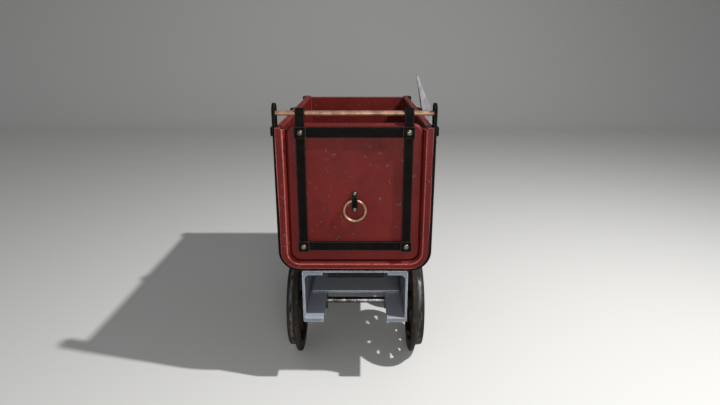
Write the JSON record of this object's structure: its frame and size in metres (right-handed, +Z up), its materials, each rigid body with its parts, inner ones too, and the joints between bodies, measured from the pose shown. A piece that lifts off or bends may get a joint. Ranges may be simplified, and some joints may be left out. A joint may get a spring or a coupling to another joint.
{
  "type": "mine cart",
  "caption": "Steel mine cart: a deep tub with a top-hung end door on a brass rod, channel sills, flanged spoked railway wheels and a pick stowed on its side.",
  "frame": {"origin": "on the track plane under the middle of the tub, on the cart's centre line", "axes": "+Z up, +Y from the door end to the closed end, +X to the right when facing the door"},
  "size_m": [0.7889, 1.2748, 1.3789],
  "materials": {
    "red_paint": "red enamel on sheet steel, chipped to grey metal and worn along its edges",
    "black_steel": "black painted flat bar with rubbed edges",
    "brass": "handled brass, satin",
    "sill_steel": "blue-grey mill steel, edges worn bright, rust in the corners",
    "bolster_black": "black painted steel",
    "bolt_steel": "dull steel",
    "door_bolt": "domed bolt heads, dull and slightly brassy",
    "cast_iron": "rough cast iron",
    "bronze": "bearing bronze",
    "axle_steel": "turned steel",
    "wheel_iron": "cast iron, brown with rust, tread polished by the rail",
    "pick_steel": "forged and ground steel",
    "handle_wood": "oiled ash"
  },
  "bodies": {
    "cart": {"tub_shell": "red_paint", "rear_end_plate": "red_paint", "mouth_frame": "red_paint", "front_band": "black_steel", "middle_band": "black_steel", "rear_band": "black_steel", "band_bolts": "black_steel", "hinge_rod": "brass", "left_sill": "sill_steel", "right_sill": "sill_steel", "front_tie": "sill_steel", "rear_tie": "sill_steel", "front_cross_plate": "sill_steel", "rear_cross_plate": "sill_steel", "front_bolster": "bolster_black", "rear_bolster": "bolster_black", "deck_bolts": "bolt_steel", "deck_nuts": "bolt_steel", "axle_box_front_left": "cast_iron", "axle_box_front_right": "cast_iron", "axle_box_rear_left": "cast_iron", "axle_box_rear_right": "cast_iron", "bush_front_left": "bronze", "bush_front_right": "bronze", "bush_rear_left": "bronze", "bush_rear_right": "bronze", "axle_box_bolts": "bolt_steel", "front_pick_hook": "black_steel", "rear_pick_hook": "black_steel", "hook_bolts": "bolt_steel"},
    "front_wheelset": {"front_axle": "axle_steel", "front_left_wheel": "wheel_iron", "front_right_wheel": "wheel_iron", "front_axle_washers": "bolt_steel", "front_axle_nuts": "bolt_steel"},
    "rear_wheelset": {"rear_axle": "axle_steel", "rear_left_wheel": "wheel_iron", "rear_right_wheel": "wheel_iron", "rear_axle_washers": "bolt_steel", "rear_axle_nuts": "bolt_steel"},
    "door": {"door_panel": "red_paint", "left_hinge_strap": "black_steel", "right_hinge_strap": "black_steel", "top_strap": "black_steel", "bottom_strap": "black_steel", "corner_plates": "black_steel", "corner_bolts": "door_bolt", "corner_nuts": "bolt_steel", "ring_bracket": "black_steel", "bracket_bolts": "door_bolt"},
    "ring": {"ring_handle": "brass"},
    "pick": {"pick_head": "pick_steel", "pick_handle": "handle_wood", "pick_wedge": "bolt_steel"}
  },
  "joints": [
    {"name": "door_hinge", "type": "hinge", "parent": "cart", "child": "door", "pos_m": [0, -0.606, 1.261], "axis": [-1, 0, 0], "range_deg": [0, 110]},
    {"name": "ring_swing", "type": "hinge", "parent": "door", "child": "ring", "pos_m": [0, -0.632, 0.905], "axis": [-1, 0, 0], "range_deg": [0, 95]},
    {"name": "front_wheel_spin", "type": "hinge", "parent": "cart", "child": "front_wheelset", "pos_m": [0, -0.278, 0.256], "axis": [1, 0, 0], "continuous": true},
    {"name": "rear_wheel_spin", "type": "hinge", "parent": "cart", "child": "rear_wheelset", "pos_m": [0, 0.278, 0.256], "axis": [1, 0, 0], "continuous": true},
    {"name": "pick_lift", "type": "slide", "parent": "cart", "child": "pick", "axis": [0, 0, 1], "range_m": [0, 0.25]}
  ]
}
